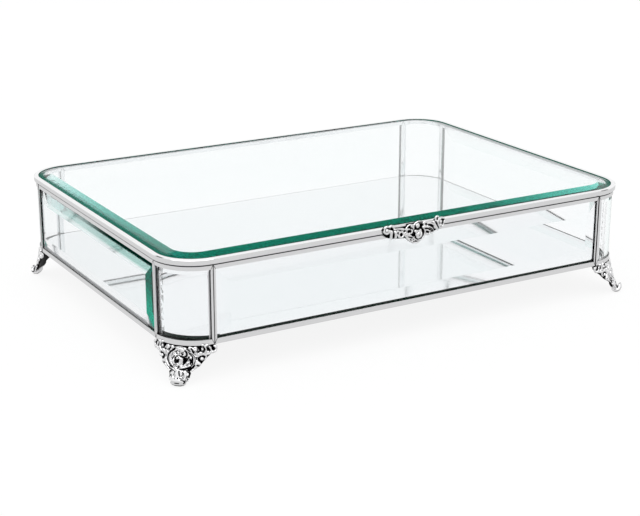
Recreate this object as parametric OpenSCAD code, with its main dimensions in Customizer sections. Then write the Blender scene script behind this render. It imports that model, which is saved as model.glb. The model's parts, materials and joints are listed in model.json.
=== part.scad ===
// Glass casket box. Eight bevelled panes, each held in its own narrow metal channel frame, stand on
// a mirror floor. A bevelled glass lid in a channel rim is hinged at the back, with a cast rose clasp
// at the front, and four cast scroll feet carry the rounded corners.
// Millimetres. The origin is on the table under the middle of the box, +X runs along the front and
// the front looks towards -Y.

/* [Body] */
// Length of the body over its end walls
body_l = 300; // [230:1:360]
// Width of the body over its front and back walls
body_w = 215; // [160:1:270]
// Radius of the body's outer corners
corner_r = 23; // [20:0.5:32]
// Height of the walls from the foot seats up to the lid seam
wall_h = 43.5; // [34:0.5:90]

/* [Channel frames] */
// Depth of the channel through the wall
came_d = 4; // [3.8:0.1:5]
// Thickness of the channel's lips
came_t = 0.8; // [0.6:0.05:0.9]
// Face width of an upright
stile_w = 1.4; // [1.2:0.1:2.4]
// Face height of a top rail
top_rail_h = 2.5; // [2:0.1:4]
// Face height of a bottom rail
bottom_rail_h = 3; // [2.8:0.1:5]
// How far the glass goes into the channel
seat_d = 0.8; // [0.5:0.05:0.9]
// Chamfer along the outer edges of the channel
came_chamfer = 0.35; // [0.1:0.05:0.5]
// How much lower the inner lip of the bottom rail stands
lip_drop = 0.5; // [0:0.05:0.6]
// Width of the groove between two neighbouring frames
seam_gap = 0.5; // [0.2:0.05:0.8]
// Depth of the groove between two neighbouring frames
seam_d = 1.6; // [1:0.1:2.2]
// Depth at which the solder in a groove begins
solder_sink = 0.7; // [0.3:0.05:0.9]

/* [Panes] */
// Thickness of the flat panes
pane_t = 3.6; // [2.8:0.1:4]
// Thickness left at the ground edge of a pane
pane_edge_t = 2; // [1.4:0.05:2]
// Width of the bevel on the flat panes
pane_bevel = 9; // [5:0.5:12]
// Thickness of the bent corner panes
bent_t = 2.4; // [2.2:0.1:2.6]
// Thickness left at the ground edge of a bent pane
bent_edge_t = 1.7; // [1.2:0.05:1.8]
// Width of the bevel on the bent corner panes
bent_bevel = 3; // [2:0.25:5]
// Clearance between a pane and the lips of its channel
pane_gap = 0.2; // [0.1:0.05:0.3]

/* [Floor] */
// Thickness of the mirror
mirror_t = 3; // [2:0.1:4]
// Clearance round the mirror
mirror_gap = 0.3; // [0.2:0.05:1]
// Radius of the mirror's corners
mirror_r = 24; // [19:0.5:30]
// Thickness of the ledge that carries the mirror
ledge_t = 0.8; // [0.6:0.1:1.2]
// Reach of the ledge under the mirror
ledge_w = 3; // [2.4:0.1:5]

/* [Lid] */
// Overhang of the lid past the walls
lid_over = 1; // [0.5:0.1:2]
// Height of the lid's rim
lid_rim_h = 3.6; // [3.4:0.1:6]
// Reach of the rim's lips over the glass
lid_lip = 2.6; // [2.4:0.1:4]
// Thickness of the rim's outer wall
lid_web = 0.9; // [0.7:0.05:1.2]
// Thickness of the rim's lower lip
lid_shelf = 0.7; // [0.6:0.05:1]
// Thickness of the rim's upper lip
lid_cap = 0.8; // [0.6:0.05:1.1]
// Thickness of the lid's glass
lid_glass_t = 3.8; // [3:0.1:6]
// Thickness left at the edge of the lid's glass
lid_glass_edge = 1.7; // [1.4:0.1:2]
// Width of the bevel on the lid's glass
lid_bevel = 10; // [6:0.5:14]
// Height of the shadow groove under the rim
lid_groove_h = 0.5; // [0.3:0.05:0.8]
// Depth of the shadow groove under the rim
lid_groove_d = 1.7; // [1.4:0.05:2]

/* [Hinges] */
// Distance between the two hinges
hinge_gap = 150; // [90:1:190]
// Width of one hinge
hinge_w = 20; // [14:1:30]
// Radius of a hinge knuckle
knuckle_r = 1.3; // [1.2:0.05:1.8]
// Radius of a hinge pin
pin_r = 0.6; // [0.5:0.05:0.8]
// Clearance between a knuckle and the lid's rim
knuckle_gap = 0.4; // [0.3:0.05:0.6]
// Radial clearance of the pin in its bores
pin_gap = 0.04; // [0.02:0.01:0.08]
// Clearance between neighbouring knuckles
joint_gap = 0.25; // [0.15:0.05:0.5]
// Thickness of a hinge leaf
leaf_t = 0.6; // [0.4:0.05:0.7]

/* [Clasp] */
// Width of the rose clasp over its scrolls
clasp_w = 43; // [30:1:60]
// Height of the rose clasp
clasp_h = 14; // [11:0.5:18]
// Depth of the rose clasp
clasp_d = 3; // [2.6:0.1:4]
// Distance of the clasp from the middle of the front
clasp_x = -5.9; // [-20:0.1:20]

/* [Feet] */
// Height of the feet
foot_h = 20; // [17:0.5:26]
// How far a toe reaches past the corner
toe_reach = 11; // [9:0.5:15]
// Thickness of the foot's cast wall
foot_t = 1.5; // [1.2:0.1:2.2]

/* [Hidden] */

silver = "#dcdcda";
solder_grey = "#4a4b4c";
clear_glass = [0.86, 0.95, 0.93, 0.35];
lid_green = [0.35, 0.75, 0.66, 0.45];
mirror_grey = "#c9d3d6";

// Facets of true round edges, and the overlap that keeps cuts clean
round_fn = 96;
cut = 1;

half_l = body_l / 2;
half_w = body_w / 2;
front_span = body_l - 2 * corner_r;
side_span = body_w - 2 * corner_r;
seam_z = foot_h + wall_h;
slot_d = came_d - 2 * came_t;
pane_in = came_d - came_t - pane_gap;
mirror_z = foot_h + ledge_t;
lid_half_l = half_l + lid_over;
lid_half_w = half_w + lid_over;
lid_r = corner_r + lid_over;
hinge_y = lid_half_w + knuckle_gap + knuckle_r;
knuckle_w = (hinge_w - 2 * joint_gap) / 3;
pin_head_r = pin_r + 0.3;
pin_head_t = 0.4;

// A rectangle with round corners about the middle
module round_rect(hx, hy, r) {
    square([2 * (hx - r), 2 * hy], center = true);
    square([2 * hx, 2 * (hy - r)], center = true);
    for (sx = [-1, 1], sy = [-1, 1])
        translate([sx * (hx - r), sy * (hy - r)]) circle(r, $fn = round_fn);
}

// Carries a section round a rectangle with round corners. The section is drawn as [outwards, up]
// from the outer edge.
module round_sweep(hx, hy, r) {
    for (quarter = [[1, 1, 0], [-1, 1, 90], [-1, -1, 180], [1, -1, 270]])
        translate([quarter[0] * (hx - r), quarter[1] * (hy - r), 0])
            rotate(quarter[2])
                rotate_extrude(angle = 90, $fn = round_fn)
                    translate([r, 0]) children();
    for (side = [[hx, hy - r, 0], [hy, hx - r, 90], [hx, hy - r, 180], [hy, hx - r, 270]])
        rotate(side[2])
            translate([side[0], side[1], 0])
                rotate([90, 0, 0])
                    linear_extrude(2 * side[1]) children();
}

// ---- flat walls, drawn lying along X with the outer face at y = 0 and the inside towards +Y ----

// Section of a flat frame, seen along the wall
module rail_section() {
    polygon([
        [0, came_chamfer], [came_chamfer, 0], [came_d + ledge_w, 0], [came_d + ledge_w, ledge_t],
        [came_d, ledge_t], [came_d, wall_h], [came_chamfer, wall_h], [0, wall_h - came_chamfer]
    ]);
}

// Plan of a flat frame: the outer part stands back to leave half of the seam groove
module stile_plan(span) {
    groove = seam_gap / 2;
    half = [
        [span / 2 - groove - came_chamfer, 0], [span / 2 - groove, came_chamfer],
        [span / 2 - groove, seam_d], [span / 2, seam_d], [span / 2, came_d + ledge_w]
    ];
    other = [for (i = [len(half) - 1:-1:0]) [-half[i][0], half[i][1]]];
    polygon(concat(half, other));
}

module flat_frame(span) {
    window_h = wall_h - bottom_rail_h - top_rail_h;
    difference() {
        intersection() {
            rotate([90, 0, 90]) translate([0, 0, -span / 2]) linear_extrude(span) rail_section();
            linear_extrude(wall_h) stile_plan(span);
        }
        translate([-span / 2 + stile_w, -cut, bottom_rail_h])
            cube([span - 2 * stile_w, came_d + 2 * cut, window_h]);
        translate([-span / 2 + stile_w, came_d - came_t, bottom_rail_h - lip_drop])
            cube([span - 2 * stile_w, came_t + cut, window_h]);
        translate([-span / 2 + stile_w - seat_d, came_t, bottom_rail_h - seat_d])
            cube([span - 2 * stile_w + 2 * seat_d, slot_d, window_h + 2 * seat_d]);
    }
}

// A flat pane with its four ground bevels on the outer face
module flat_pane(span) {
    pane_w = span - 2 * stile_w + 2 * seat_d;
    pane_h = wall_h - bottom_rail_h - top_rail_h + 2 * seat_d;
    bevel_d = pane_t - pane_edge_t;
    outer_y = pane_in - pane_t;
    translate([0, outer_y, bottom_rail_h - seat_d]) difference() {
        translate([-pane_w / 2, 0, 0]) cube([pane_w, pane_t, pane_h]);
        for (end = [0, 1])
            mirror([end, 0, 0])
                translate([pane_w / 2, 0, -cut])
                    linear_extrude(pane_h + 2 * cut) bevel_cut(pane_bevel, bevel_d);
        for (edge = [0, 1])
            translate([0, 0, edge * pane_h]) mirror([0, 0, 1 - edge])
                rotate([90, 0, 90]) rotate([0, 0, 90]) translate([0, 0, -pane_w / 2 - cut])
                    linear_extrude(pane_w + 2 * cut) mirror([0, 1]) bevel_cut(pane_bevel, bevel_d);
    }
}

// The wedge ground off a pane, drawn from its sharp outer corner
module bevel_cut(width, depth) {
    over = cut / width;
    polygon([[-width, 0], [-width, -cut], [cut, -cut], [cut, depth * (1 + over)]]);
}

// Puts a wall piece drawn along X at the front, back, left or right of the box
module at_front() { translate([0, -half_w, foot_h]) children(); }
module at_back() { translate([0, half_w, foot_h]) rotate(180) children(); }
module at_left() { translate([-half_l, 0, foot_h]) rotate(-90) children(); }
module at_right() { translate([half_l, 0, foot_h]) rotate(90) children(); }

// ---- bent corners, drawn about the corner's own axis over the quarter from +X to +Y ----

module quarter_ring(r_in, r_out, z_low, z_high, from = 0, to = 90) {
    rotate(from) rotate_extrude(angle = to - from, $fn = round_fn)
        translate([r_in, z_low]) square([r_out - r_in, z_high - z_low]);
}

module corner_frame() {
    stile_a = stile_w / corner_r * 180 / PI;
    seat_a = seat_d / corner_r * 180 / PI;
    groove = seam_gap / 2;
    inner_r = corner_r - came_d;
    top_z = wall_h - top_rail_h;
    difference() {
        rotate_extrude(angle = 90, $fn = round_fn) polygon([
            [inner_r - ledge_w, 0], [corner_r - came_chamfer, 0], [corner_r, came_chamfer],
            [corner_r, wall_h - came_chamfer], [corner_r - came_chamfer, wall_h],
            [inner_r, wall_h], [inner_r, ledge_t], [inner_r - ledge_w, ledge_t]
        ]);
        quarter_ring(inner_r - cut, corner_r + cut, bottom_rail_h, top_z, stile_a, 90 - stile_a);
        quarter_ring(inner_r - cut, inner_r + came_t, bottom_rail_h - lip_drop, bottom_rail_h + cut,
            stile_a, 90 - stile_a);
        quarter_ring(inner_r + came_t, corner_r - came_t, bottom_rail_h - seat_d, top_z + seat_d,
            stile_a - seat_a, 90 - stile_a + seat_a);
        translate([corner_r - seam_d, -cut, -cut])
            cube([seam_d + cut, groove + cut, wall_h + 2 * cut]);
        translate([-cut, corner_r - seam_d, -cut])
            cube([groove + cut, seam_d + cut, wall_h + 2 * cut]);
    }
}

// A bent pane: a quarter-round sheet with a narrow bevel down its sides and along its top
module bent_pane() {
    foot_bevel = 1.6 * seat_d;
    side_a = (stile_w - seat_d) / corner_r * 180 / PI;
    inner_r = corner_r - pane_in;
    edge_r = inner_r + bent_edge_t;
    outer_r = inner_r + bent_t;
    low = bottom_rail_h - seat_d;
    high = wall_h - top_rail_h + seat_d;
    bevel_a = atan2(outer_r - edge_r, bent_bevel);
    difference() {
        rotate(side_a) rotate_extrude(angle = 90 - 2 * side_a, $fn = round_fn) polygon([
            [inner_r, low], [edge_r, low], [outer_r, low + foot_bevel],
            [outer_r, high - bent_bevel], [edge_r, high], [inner_r, high]
        ]);
        for (side = [0, 1])
            rotate(side * 90) mirror([0, side, 0])
                rotate(side_a) translate([edge_r, 0, low - cut])
                    rotate(-bevel_a)
                        translate([0, -bent_bevel, 0])
                            cube([bent_bevel, 3 * bent_bevel, high - low + 2 * cut]);
    }
}

// Puts a piece drawn about a corner's axis at each corner of the box
module at_corner(sx, sy) {
    turn = sx > 0 ? (sy > 0 ? 0 : 270) : (sy > 0 ? 90 : 180);
    translate([sx * (half_l - corner_r), sy * (half_w - corner_r), foot_h]) rotate(turn) children();
}

// Dark solder lying deep in the eight grooves between the frames
module seam_solder() {
    color(solder_grey)
        for (sx = [-1, 1], sy = [-1, 1]) {
            translate([sx * (half_l - corner_r) - seam_gap / 2,
                sy * (half_w - (solder_sink + seam_d) / 2) - (seam_d - solder_sink) / 2, foot_h])
                cube([seam_gap, seam_d - solder_sink, wall_h]);
            translate([sx * (half_l - (solder_sink + seam_d) / 2) - (seam_d - solder_sink) / 2,
                sy * (half_w - corner_r) - seam_gap / 2, foot_h])
                cube([seam_d - solder_sink, seam_gap, wall_h]);
        }
}

// The mirror lies on the ledges inside the bottom rails
module mirror_floor() {
    inset = came_d + mirror_gap;
    color(mirror_grey) translate([0, 0, mirror_z])
        linear_extrude(mirror_t) round_rect(half_l - inset, half_w - inset, mirror_r);
}

// ---- lid ----

// Section of the rim: a channel open to the inside, with a shadow groove under its outer edge
module rim_section() {
    polygon([
        [0, lid_groove_h + came_chamfer], [0, lid_rim_h - came_chamfer], [-came_chamfer, lid_rim_h],
        [-lid_lip, lid_rim_h], [-lid_lip, lid_rim_h - lid_cap], [-lid_web, lid_rim_h - lid_cap],
        [-lid_web, lid_shelf], [-lid_lip, lid_shelf], [-lid_lip, 0], [-lid_groove_d, 0],
        [-lid_groove_d, lid_groove_h], [-came_chamfer, lid_groove_h]
    ]);
}

module lid_rim() {
    color(silver) translate([0, 0, seam_z])
        round_sweep(lid_half_l, lid_half_w, lid_r) rim_section();
}

// The lid's glass, with one bevel ground all round its top
module lid_glass() {
    hx = lid_half_l - lid_web;
    hy = lid_half_w - lid_web;
    r = lid_r - lid_web;
    bevel_d = lid_glass_t - lid_glass_edge;
    over = cut / lid_bevel;
    color(lid_green) translate([0, 0, seam_z + lid_shelf]) difference() {
        linear_extrude(lid_glass_t) round_rect(hx, hy, r);
        round_sweep(hx + cut, hy + cut, r + cut) polygon([
            [-lid_bevel - cut, lid_glass_t], [0, lid_glass_edge - bevel_d * over],
            [0, lid_glass_t + cut], [-lid_bevel - cut, lid_glass_t + cut]
        ]);
    }
}

// ---- hinges ----

// One knuckle: a rolled tube on a tab that reaches to the metal that carries it
module knuckle(x, w, tab_y, up, bore_r) {
    difference() {
        union() {
            translate([x, hinge_y, seam_z]) rotate([0, 90, 0])
                cylinder(r = knuckle_r, h = w, center = true, $fn = round_fn);
            translate([x - w / 2, tab_y, seam_z + (up > 0 ? knuckle_r - leaf_t : -knuckle_r)])
                cube([w, hinge_y - tab_y, leaf_t]);
        }
        translate([x, hinge_y, seam_z]) rotate([0, 90, 0])
            cylinder(r = bore_r, h = w + 2 * cut, center = true, $fn = round_fn);
    }
}

// The case's half of a hinge: two knuckles on a leaf along the back frame's top rail
module case_hinge(side) {
    x = side * hinge_gap / 2;
    color(silver) {
        for (end = [-1, 1])
            knuckle(x + end * (knuckle_w + joint_gap), knuckle_w, half_w, -1, pin_r + pin_gap);
        translate([x - hinge_w / 2, half_w, seam_z - top_rail_h])
            cube([hinge_w, leaf_t, top_rail_h - knuckle_r + leaf_t]);
    }
}

// The lid's half: the middle knuckle, on a leaf along the back of the rim
module lid_hinge(side) {
    x = side * hinge_gap / 2;
    leaf_low = knuckle_r + knuckle_gap;
    color(silver) {
        knuckle(x, knuckle_w, lid_half_w, 1, pin_r + pin_gap);
        translate([x - hinge_w / 2, lid_half_w, seam_z + leaf_low])
            cube([hinge_w, leaf_t, lid_rim_h - came_chamfer - leaf_low]);
        translate([x - knuckle_w / 2, lid_half_w, seam_z + knuckle_r - leaf_t])
            cube([knuckle_w, leaf_t, knuckle_gap + 2 * leaf_t]);
    }
}

// A hinge pin with its two peened heads
module hinge_pin(side) {
    color(silver) translate([side * hinge_gap / 2, hinge_y, seam_z]) rotate([0, 90, 0]) {
        cylinder(r = pin_r, h = hinge_w, center = true, $fn = round_fn);
        for (end = [-1, 1])
            translate([0, 0, end * (hinge_w + pin_head_t) / 2])
                cylinder(r = pin_head_r, h = pin_head_t, center = true, $fn = round_fn);
    }
}

// ---- cast ornament ----
// Ornament is drawn flat as [along, down, out] and then laid on the surface that carries it.

function lerp(a, b, t) = a + (b - a) * t;

// A curl about a centre whose radius and angle both run evenly from start to end
function curl(centre, r_from, r_to, a_from, a_to, steps) = [
    for (i = [0:steps]) let (t = i / steps, r = lerp(r_from, r_to, t), a = lerp(a_from, a_to, t))
        [centre[0] + r * cos(a), centre[1] + r * sin(a), 0]
];

// A smooth stem through three guide points
function stem(p, q, r, steps) = [
    for (i = [0:steps]) let (t = i / steps)
        (1 - t) * (1 - t) * p + 2 * t * (1 - t) * q + t * t * r
];

// Where the foot's wall stands from the corner's axis, at a depth below its seat
foot_inset = 0.25;
wall_top_r = corner_r - foot_t / 2 - foot_inset;
wall_flare = 0.72 * toe_reach;
function wall_r(down) = wall_top_r + wall_flare * pow(max(down, 0) / foot_h, 1.6);

// Lays a drawn point on the flaring wall of a foot, which looks towards +X
function on_wall(p) = let (r = wall_r(p[1]) + p[2], a = p[0] / corner_r * 180 / PI)
    [r * cos(a), r * sin(a), -p[1]];

// Lays a drawn point on the upright front of the lid's rim, which looks towards -Y
function on_front(p) = [p[0], -p[2], -p[1]];

function cord_dir(path, i) = let (
    a = path[max(i - 1, 0)], b = path[min(i + 1, len(path) - 1)], d = [b[0] - a[0], b[1] - a[1]]
) d / max(norm(d), 0.001);

// The points of a round, tapering cast strand that follows a drawn path. lift raises its middle.
function strand_points(path, r_from, r_to, lift, sides) = [
    for (i = [0:len(path) - 1]) let (
        t = i / (len(path) - 1), r = lerp(r_from, r_to, t), d = cord_dir(path, i)
    )
        for (k = [0:sides - 1]) let (a = 360 * (k + 0.5) / sides)
            [path[i][0] - d[1] * r * cos(a), path[i][1] + d[0] * r * cos(a),
                path[i][2] + lift - r * sin(a)]
];

function strand_faces(rings, sides) = concat(
    [[for (k = [0:sides - 1]) k]],
    [for (i = [0:rings - 2], k = [0:sides - 1])
        let (a = i * sides + k, b = i * sides + (k + 1) % sides) [a, a + sides, b + sides]],
    [for (i = [0:rings - 2], k = [0:sides - 1])
        let (a = i * sides + k, b = i * sides + (k + 1) % sides) [a, b + sides, b]],
    [[for (k = [sides - 1:-1:0]) (rings - 1) * sides + k]]
);

// One strand, laid on the foot's wall or on the rim's front
module strand(path, r_from, r_to, lift, wall, sides = 5) {
    drawn = strand_points(path, r_from, r_to, lift, sides);
    laid = wall ? [for (p = drawn) on_wall(p)] : [for (p = drawn) on_front(p)];
    polyhedron(laid, strand_faces(len(path), sides), convexity = 6);
}

// A petal or leaf: a fat tip drawn together with a thin root
module petal(root, tip, r_root, r_tip, lift, wall) {
    hull() {
        translate(wall ? on_wall([root[0], root[1], lift]) : on_front([root[0], root[1], lift]))
            sphere(r_root, $fn = 5);
        translate(wall ? on_wall([tip[0], tip[1], lift]) : on_front([tip[0], tip[1], lift]))
            sphere(r_tip, $fn = 7);
    }
}

// The rose: petals in two turns round a bud
module rose(centre, r, lift, petals, wall) {
    for (i = [0:petals - 1]) {
        a = 360 * i / petals + 20;
        petal(
            centre + 0.45 * r * [cos(a), sin(a)], centre + 0.72 * r * [cos(a + 28), sin(a + 28)],
            0.16 * r, 0.26 * r, lift, wall);
    }
    strand(curl(centre, 0.36 * r, 0.1 * r, 0, 360, 6), 0.15 * r, 0.11 * r, lift + 0.22 * r, wall);
}

// ---- feet ----

// Half the width of the foot's cast wall, from its seat down to the neck
wall_outline = [
    [0.71, 0], [0.74, 0.08], [0.71, 0.17], [0.6, 0.25], [0.55, 0.33], [0.45, 0.4], [0.42, 0.48],
    [0.3, 0.56], [0.24, 0.64], [0.22, 0.7], [0.18, 0.82]
];

module foot_wall() {
    steps = 6;
    depth = 0.82 * foot_h;
    outer = [for (i = [0:steps]) let (v = depth * i / steps) [wall_r(v) + foot_t / 2, -v]];
    inner = [for (i = [steps:-1:0]) let (v = depth * i / steps) [wall_r(v) - foot_t / 2, -v]];
    half = [for (p = wall_outline) [p[0] * corner_r, -p[1] * foot_h]];
    other = [for (i = [len(half) - 1:-1:0]) [-half[i][0], half[i][1]]];
    intersection() {
        rotate(-48) rotate_extrude(angle = 96, $fn = 40) polygon(concat(outer, inner));
        translate([corner_r / 3, 0, 0]) rotate([90, 0, 90])
            linear_extrude(corner_r + toe_reach) polygon(concat(half, other));
    }
}

// The toe: a broad tongue that runs down from the neck, touches the table and turns up
module foot_toe() {
    sides = 8;
    bend_r = 0.155 * foot_h;
    neck_t = 0.06 * foot_h;
    tip_t = 0.04 * foot_h;
    centre = [corner_r + toe_reach - bend_r - tip_t, -foot_h + bend_r + 0.04 * foot_h];
    proud = 0.2 * foot_t;
    neck = [for (v = [0.55, 0.66, 0.76]) [wall_r(v * foot_h) + proud, -v * foot_h]];
    hook = [for (i = [0:8]) let (a = 208 + 172 * i / 8) centre + bend_r * [cos(a), sin(a)]];
    path = concat(neck, hook);
    last = len(path) - 1;
    points = [
        for (i = [0:last]) let (
            t = i / last, a = path[max(i - 1, 0)], b = path[min(i + 1, last)],
            d = (b - a) / norm(b - a), end = i == last ? 0.6 : 1,
            across = end * 0.2 * foot_h, thick = end * lerp(neck_t, tip_t, t)
        )
            for (k = [0:sides - 1]) let (q = 360 * (k + 0.5) / sides)
                [path[i][0] - d[1] * thick * sin(q), across * cos(q), path[i][1] + d[0] * thick * sin(q)]
    ];
    intersection() {
        polyhedron(points, strand_faces(len(path), sides), convexity = 6);
        translate([0, -foot_h, -foot_h]) cube([3 * corner_r, 2 * foot_h, foot_h]);
    }
}

// Scales a drawn path sideways and downwards, to the right or to the left of the middle
function drawn(path, side, u, v) = [for (p = path) [side * u * p[0], v * p[1], 0]];

// One foot under a corner whose middle looks towards +X. Ornament is drawn for a 23 mm corner radius
// and a 20 mm foot.
module foot() {
    u = corner_r / 23;
    v = foot_h / 20;
    lift = foot_t / 2;
    medal = [0, 6.3 * v];
    ring = [for (i = [0:16]) [7.1 * cos(22.5 * i), 6.3 + 5.3 * sin(22.5 * i), 0]];
    side_scroll = curl([15.7, 2.9], 2.6, 0.7, 200, -150, 9);
    inner_scroll = curl([10.6, 2.3], 1.9, 0.6, 40, -280, 7);
    side_leaf = stem([8, 6], [11.4, 7.8], [14.6, 4.8], 4);
    edge_leaf = stem([9.8, 8.4], [5.4, 10], [4.2, 16.2], 4);
    seat_edge = [for (i = [0:8]) [lerp(-16.8, 16.8, i / 8), 0.8, 0]];
    mid_rib = [for (i = [0:3]) [0, 12.2 + 1.2 * i, 0]];
    color(silver) intersection() {
        union() {
            difference() {
                foot_wall();
                for (side = [-1, 1], hole = [[12.2, 4.6, 0.7], [8, 1.9, 0.6]])
                    translate([corner_r / 3, side * hole[0] * u, -hole[1] * v]) rotate([0, 90, 0])
                        cylinder(r = hole[2] * u, h = 2 * corner_r, $fn = 7);
            }
            foot_toe();
            strand(drawn(ring, 1, u, v), 0.7 * u, 0.7 * u, lift, true);
            rose(medal, 5 * u, lift, 6, true);
            strand(drawn(seat_edge, 1, u, v), 0.6 * u, 0.6 * u, lift, true);
            for (side = [-1, 1]) {
                strand(drawn(side_scroll, side, u, v), 0.75 * u, 0.5 * u, lift, true);
                strand(drawn(inner_scroll, side, u, v), 0.7 * u, 0.5 * u, lift, true);
                strand(drawn(side_leaf, side, u, v), 0.9 * u, 0.5 * u, lift, true);
                strand(drawn(edge_leaf, side, u, v), 0.7 * u, 0.5 * u, lift, true);
            }
            strand(drawn(mid_rib, 1, u, v), 0.9 * u, 0.7 * u, 1.4 * lift, true);
        }
        translate([0, -2 * corner_r, -foot_h]) cube([3 * corner_r, 4 * corner_r, foot_h]);
    }
}

module foot_at(sx, sy) { at_corner(sx, sy) rotate(45) foot(); }

// ---- clasp ----

// The cast rose clasp is fixed to the lid's rim and hangs over the seam, clear of the case. It is
// drawn 40 mm wide and 14 mm high.
module rose_clasp() {
    u = clasp_w / 40;
    v = clasp_h / 14;
    plate_t = 0.37 * clasp_d;
    lift = clasp_d / 2;
    centre = [0, 1.2 * v];
    end_scroll = curl([17, -2.4], 2.9, 0.7, 150, -250, 13);
    leaf_stem = stem([6, 2.6], [10, 4.4], [13.8, 0.2], 7);
    inner_scroll = curl([9.4, -1.6], 2.3, 0.6, 60, -260, 10);
    color(silver) translate([clasp_x, -lid_half_w, seam_z]) intersection() {
        union() {
            rotate([90, 0, 0]) linear_extrude(plate_t) {
                translate([0, -centre[1]]) circle(5.2 * v, $fn = 20);
                translate([-15 * u, 0.1 * v]) square([30 * u, 3 * v]);
                for (side = [-1, 1]) {
                    translate([side * 9 * u, 0.6 * v]) circle(3.4 * v, $fn = 14);
                    translate([side * 16.2 * u, 1.7 * v]) circle(2.9 * v, $fn = 14);
                }
            }
            rose(centre, 5.6 * v, 0.87 * lift, 7, false);
            petal([0, 4.6 * v], [0, 6.6 * v], 0.9 * v, 1.1 * v, plate_t, false);
            petal([0, -1.6 * v], [0.6 * u, -4.3 * v], 0.8 * v, 1.1 * v, plate_t, false);
            for (side = [-1, 1]) {
                strand(drawn(end_scroll, side, u, v), 0.85 * v, 0.55 * v, plate_t, false);
                strand(drawn(leaf_stem, side, u, v), 1.1 * v, 0.6 * v, plate_t, false);
                strand(drawn(inner_scroll, side, u, v), 0.75 * v, 0.45 * v, plate_t, false);
                petal([side * 5.6 * u, 4.2 * v], [side * 8.2 * u, 4.6 * v], 0.6 * v, 0.9 * v,
                    plate_t, false);
                petal([side * 11.6 * u, 2 * v], [side * 13.6 * u, 3 * v], 0.5 * v, 0.8 * v,
                    plate_t, false);
            }
        }
        translate([-clasp_w, -clasp_d, -clasp_h]) cube([2 * clasp_w, clasp_d, 2 * clasp_h]);
    }
}

color(silver) at_front() flat_frame(front_span);  // front_frame
color(silver) at_back() flat_frame(front_span);  // back_frame
color(silver) at_left() flat_frame(side_span);  // left_frame
color(silver) at_right() flat_frame(side_span);  // right_frame
color(silver) at_corner(-1, -1) corner_frame();  // corner_frame_front_left
color(silver) at_corner(1, -1) corner_frame();  // corner_frame_front_right
color(silver) at_corner(-1, 1) corner_frame();  // corner_frame_back_left
color(silver) at_corner(1, 1) corner_frame();  // corner_frame_back_right
color(clear_glass) at_front() flat_pane(front_span);  // front_pane
color(clear_glass) at_back() flat_pane(front_span);  // back_pane
color(clear_glass) at_left() flat_pane(side_span);  // left_pane
color(clear_glass) at_right() flat_pane(side_span);  // right_pane
color(clear_glass) at_corner(-1, -1) bent_pane();  // bent_pane_front_left
color(clear_glass) at_corner(1, -1) bent_pane();  // bent_pane_front_right
color(clear_glass) at_corner(-1, 1) bent_pane();  // bent_pane_back_left
color(clear_glass) at_corner(1, 1) bent_pane();  // bent_pane_back_right
seam_solder();
mirror_floor();
foot_at(-1, -1);  // foot_front_left
foot_at(1, -1);  // foot_front_right
foot_at(-1, 1);  // foot_back_left
foot_at(1, 1);  // foot_back_right
case_hinge(-1);  // case_hinge_left
case_hinge(1);  // case_hinge_right
hinge_pin(-1);  // hinge_pin_left
hinge_pin(1);  // hinge_pin_right
lid_rim();
lid_glass();
lid_hinge(-1);  // lid_hinge_left
lid_hinge(1);  // lid_hinge_right
rose_clasp();
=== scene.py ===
import json
import math
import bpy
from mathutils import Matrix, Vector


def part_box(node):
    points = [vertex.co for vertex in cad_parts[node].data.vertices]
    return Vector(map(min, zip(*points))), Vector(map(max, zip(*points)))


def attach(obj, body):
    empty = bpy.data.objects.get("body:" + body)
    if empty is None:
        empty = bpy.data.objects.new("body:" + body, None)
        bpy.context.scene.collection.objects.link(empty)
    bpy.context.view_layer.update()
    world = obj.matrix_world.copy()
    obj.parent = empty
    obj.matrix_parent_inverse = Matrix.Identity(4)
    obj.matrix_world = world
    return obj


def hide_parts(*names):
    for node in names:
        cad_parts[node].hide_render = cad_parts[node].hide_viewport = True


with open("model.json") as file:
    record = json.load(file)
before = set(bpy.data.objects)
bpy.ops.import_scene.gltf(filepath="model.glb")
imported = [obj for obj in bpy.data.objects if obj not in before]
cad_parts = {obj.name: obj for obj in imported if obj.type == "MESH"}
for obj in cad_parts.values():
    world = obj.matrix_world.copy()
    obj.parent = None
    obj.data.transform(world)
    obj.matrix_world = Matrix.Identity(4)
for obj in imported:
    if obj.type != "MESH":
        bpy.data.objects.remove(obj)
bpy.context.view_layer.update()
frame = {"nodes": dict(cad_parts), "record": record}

from types import SimpleNamespace

import bmesh
import bpy
import numpy as np
from mathutils import Matrix, Vector

scene = bpy.context.scene
MM = 0.001

# ---- helpers ----


def linear(hex_colour):
    """The linear colour of an sRGB hex value."""
    parts = [int(hex_colour[i:i + 2], 16) / 255 for i in (1, 3, 5)]
    return tuple(p / 12.92 if p <= 0.04045 else ((p + 0.055) / 1.055) ** 2.4 for p in parts) + (1.0,)


def add(tree, kind, links=(), **settings):
    """Adds one node to a tree. links gives its inputs, in order or by name: a value, another node's output,
    or a node, whose first output is meant."""
    made = tree.nodes.new("ShaderNode" + kind)
    for name, value in settings.items():
        setattr(made, name, value)
    for name, value in links.items() if isinstance(links, dict) else enumerate(links):
        if isinstance(value, bpy.types.Node):
            value = value.outputs[0]
        if isinstance(value, bpy.types.NodeSocket):
            tree.links.new(value, made.inputs[name])
        else:
            made.inputs[name].default_value = value
    return made


def new_material(name):
    """A material with an empty tree of nodes."""
    material = bpy.data.materials.new(name)
    material.use_nodes = True
    material.node_tree.nodes.clear()
    return material, material.node_tree


def spots_per_metre(spot_mm):
    """The scale of a noise whose spots are this wide."""
    return 1 / (spot_mm * MM)


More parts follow.
